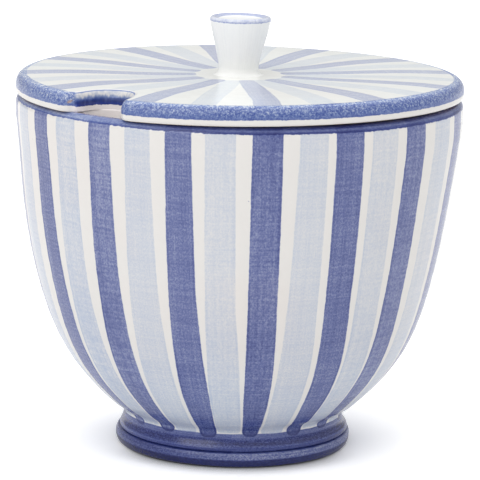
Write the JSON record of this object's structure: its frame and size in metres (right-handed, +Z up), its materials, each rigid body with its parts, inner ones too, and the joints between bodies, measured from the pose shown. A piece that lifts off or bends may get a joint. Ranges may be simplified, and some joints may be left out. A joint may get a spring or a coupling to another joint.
{
  "type": "sugar bowl",
  "caption": "Round footed bowl with a flat lift-off lid that has a tapered knob and a notch in its edge for a spoon.",
  "frame": {"origin": "centre of the foot ring's resting plane, on the bowl's axis", "axes": "+Z up along the bowl's axis; -Y is the front; the spoon notch is 39.4 degrees from the front towards -X"},
  "size_m": [0.112, 0.112, 0.1084],
  "materials": {
    "striped_glaze": "white glaze with hand-brushed dark and pale blue upright stripes, glossy",
    "blue_glaze": "mottled cobalt blue glaze, glossy",
    "lid_glaze": "white glaze with radial blue stripes and a speckled blue edge band, glossy",
    "white_glaze": "warm white glaze, glossy"
  },
  "bodies": {
    "bowl": {"bowl_body": "striped_glaze", "foot_ring": "blue_glaze"},
    "lid": {"lid": "lid_glaze", "lid_flange": "white_glaze", "knob": "white_glaze"}
  },
  "joints": [
    {"name": "lid_lift", "type": "slide", "parent": "bowl", "child": "lid", "axis": [0, 0, 1], "range_m": [0, 0.06]}
  ]
}
